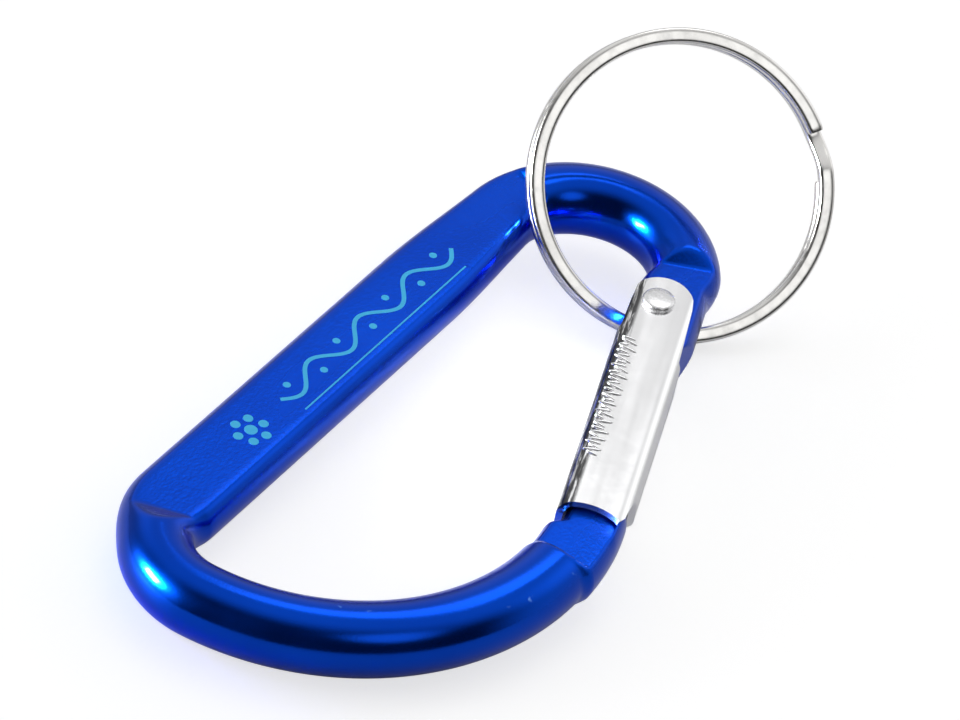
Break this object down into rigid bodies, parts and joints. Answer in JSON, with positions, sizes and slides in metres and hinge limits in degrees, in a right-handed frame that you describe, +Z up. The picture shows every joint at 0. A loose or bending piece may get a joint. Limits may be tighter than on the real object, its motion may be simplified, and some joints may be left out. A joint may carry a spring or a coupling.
{
  "type": "carabiner keyring",
  "caption": "Offset-D accessory carabiner with pressed-flat spine, sprung sheet-metal gate and a two-turn split ring.",
  "frame": {"origin": "middle of the clip opening, on the bar's centre plane", "axes": "+Y along the spine towards the ring end, +X from the spine towards the gate, +Z up out of the carabiner's plane"},
  "size_m": [0.0306, 0.0709, 0.0178],
  "materials": {
    "body": "blue anodised, glossy",
    "gate": "polished sheet",
    "gate_rivet": "satin",
    "gate_spring": "drawn wire",
    "spring_plunger": "turned",
    "split_ring": "nickel plated"
  },
  "bodies": {
    "carabiner": {"body": "body"},
    "gate_unit": {"gate": "gate", "gate_rivet": "gate_rivet", "gate_spring": "gate_spring"},
    "plunger": {"spring_plunger": "spring_plunger"},
    "ring": {"split_ring": "split_ring"}
  },
  "joints": [
    {"name": "gate_hinge", "type": "hinge", "parent": "carabiner", "child": "gate_unit", "pos_m": [0.0048, 0.0215, 0], "axis": [0, 0, -1], "range_deg": [0, 27], "stiffness_Nm_per_rad": 0.02, "springref_deg": -28.65},
    {"name": "plunger_slide", "type": "slide", "parent": "gate_unit", "child": "plunger", "axis": [0.3486, -0.9373, 0], "range_m": [0, 0.0004], "deforming": ["gate_spring"]},
    {"name": "ring_turn", "type": "hinge", "parent": "carabiner", "child": "ring", "pos_m": [0.0027, 0.0291, 0], "axis": [0.7071, 0.7071, 0], "range_deg": [0, 90]}
  ],
  "couplings": [
    {"joint": "plunger_slide", "follows": "gate_hinge", "m_per_rad": 0.000848}
  ]
}
